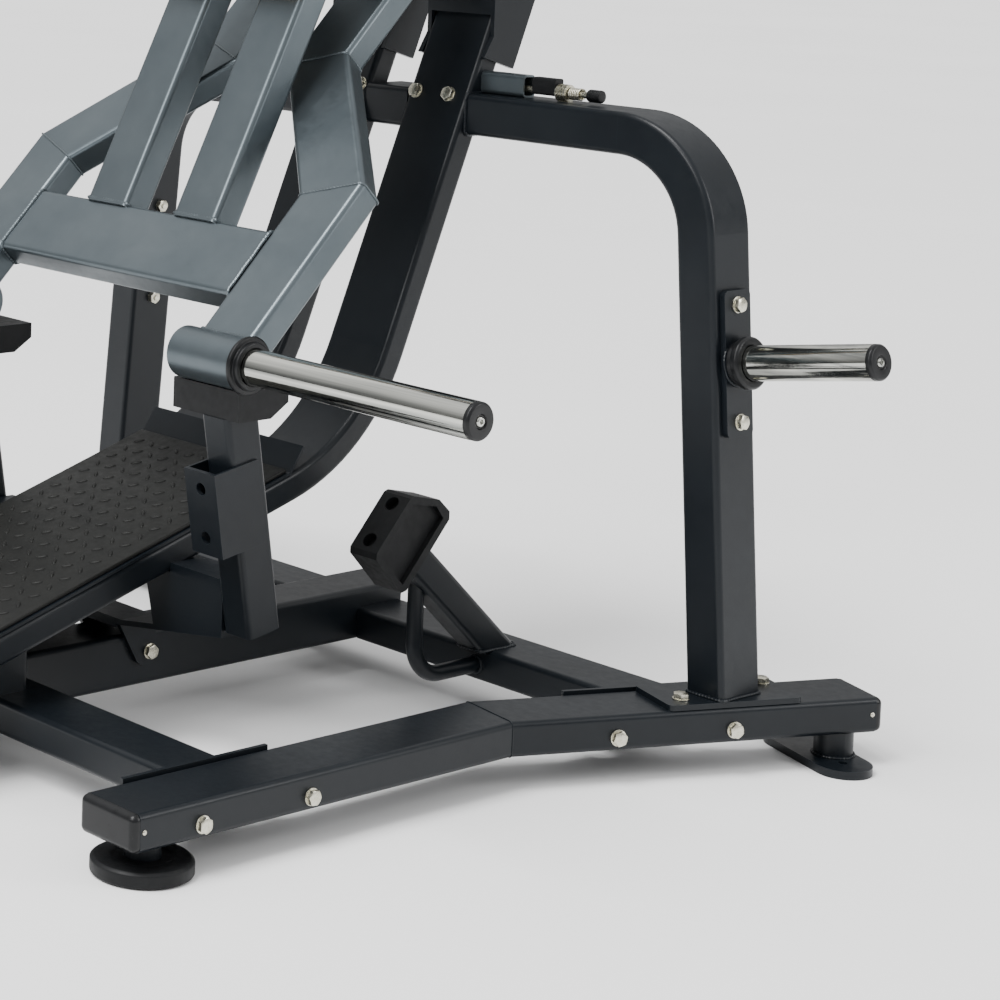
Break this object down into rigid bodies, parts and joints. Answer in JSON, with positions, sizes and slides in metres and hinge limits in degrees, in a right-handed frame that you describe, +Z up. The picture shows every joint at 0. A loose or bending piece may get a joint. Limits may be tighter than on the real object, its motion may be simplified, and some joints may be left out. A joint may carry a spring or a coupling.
{
  "type": "leg press machine",
  "caption": "Plate-loaded lever squat press: welded black frame, inclined tread platform, hinged gray lever arm with back and shoulder pads, chrome weight horns.",
  "frame": {"origin": "centre of the footprint box, on the floor", "axes": "+X across to the right-hand side that carries the rear stop and spring pin, +Y from the platform's open end to the back, +Z up"},
  "size_m": [1.7494, 1.372, 1.6113],
  "materials": {
    "frame_paint": "satin black powder coat",
    "arm_paint": "satin silver-gray metallic powder coat",
    "zinc_steel": "zinc plated",
    "bush_bronze": "turned bronze",
    "chrome_sleeve": "polished chrome",
    "black_plastic": "moulded satin",
    "black_rubber": "matte",
    "tread_rubber": "moulded tread",
    "pad_board_wood": "raw plywood",
    "pad_vinyl": "fine-grain vinyl"
  },
  "bodies": {
    "frame": {"side_rail_right": "frame_paint", "side_rail_left": "frame_paint", "front_cross_tube": "frame_paint", "rear_cross_right": "frame_paint", "rear_cross_left": "frame_paint", "centre_rail": "frame_paint", "rail_end_caps": "black_plastic", "rail_bolts": "zinc_steel", "front_feet": "black_rubber", "front_foot_stems": "frame_paint", "rear_feet": "frame_paint", "side_post_right": "frame_paint", "side_post_left": "frame_paint", "post_bolts": "zinc_steel", "upright_right": "frame_paint", "upright_left": "frame_paint", "upper_tie": "frame_paint", "upright_bolts": "zinc_steel", "upright_top_caps": "black_plastic", "deck_plate": "frame_paint", "tread_mat": "tread_rubber", "platform_cross_tube": "frame_paint", "platform_saddle": "frame_paint", "platform_risers": "frame_paint", "bumper_post_right": "frame_paint", "bumper_post_left": "frame_paint", "bumper_brackets": "frame_paint", "bumper_rubbers": "black_rubber", "rear_stop_tube": "frame_paint", "rear_stop_rod": "frame_paint", "rear_stop_block": "black_rubber", "storage_plates": "frame_paint", "storage_horns": "chrome_sleeve", "storage_collars": "black_plastic", "horn_end_caps": "black_plastic", "pivot_bracket_right": "frame_paint", "pivot_bracket_left": "frame_paint", "pivot_shaft": "zinc_steel", "pivot_nuts": "zinc_steel", "pin_housing": "arm_paint", "pin_guide": "frame_paint", "pin_spring": "zinc_steel"},
    "lever_arm": {"arm_right": "arm_paint", "arm_left": "arm_paint", "arm_cross_tube": "arm_paint", "back_bar_right": "arm_paint", "back_bar_left": "arm_paint", "arm_collars": "black_plastic", "arm_horns": "chrome_sleeve", "arm_horn_caps": "black_plastic", "pivot_bushes": "bush_bronze", "bar_braces": "arm_paint", "pad_board": "pad_board_wood", "back_pad": "pad_vinyl", "shoulder_booms": "arm_paint", "shoulder_pads": "pad_vinyl", "handles": "arm_paint", "grips": "black_rubber"},
    "pull_pin": {"spring_pin": "zinc_steel", "pin_block": "black_rubber"}
  },
  "joints": [
    {"name": "lever_arm_hinge", "type": "hinge", "parent": "frame", "child": "lever_arm", "pos_m": [0, 0.508, 1.292], "axis": [-1, 0, 0], "range_deg": [0, 40]},
    {"name": "pull_pin_slide", "type": "slide", "parent": "frame", "child": "pull_pin", "axis": [-1, 0, 0], "range_m": [0, 0.011], "stiffness_N_per_m": 400, "springref_m": -0.004}
  ]
}
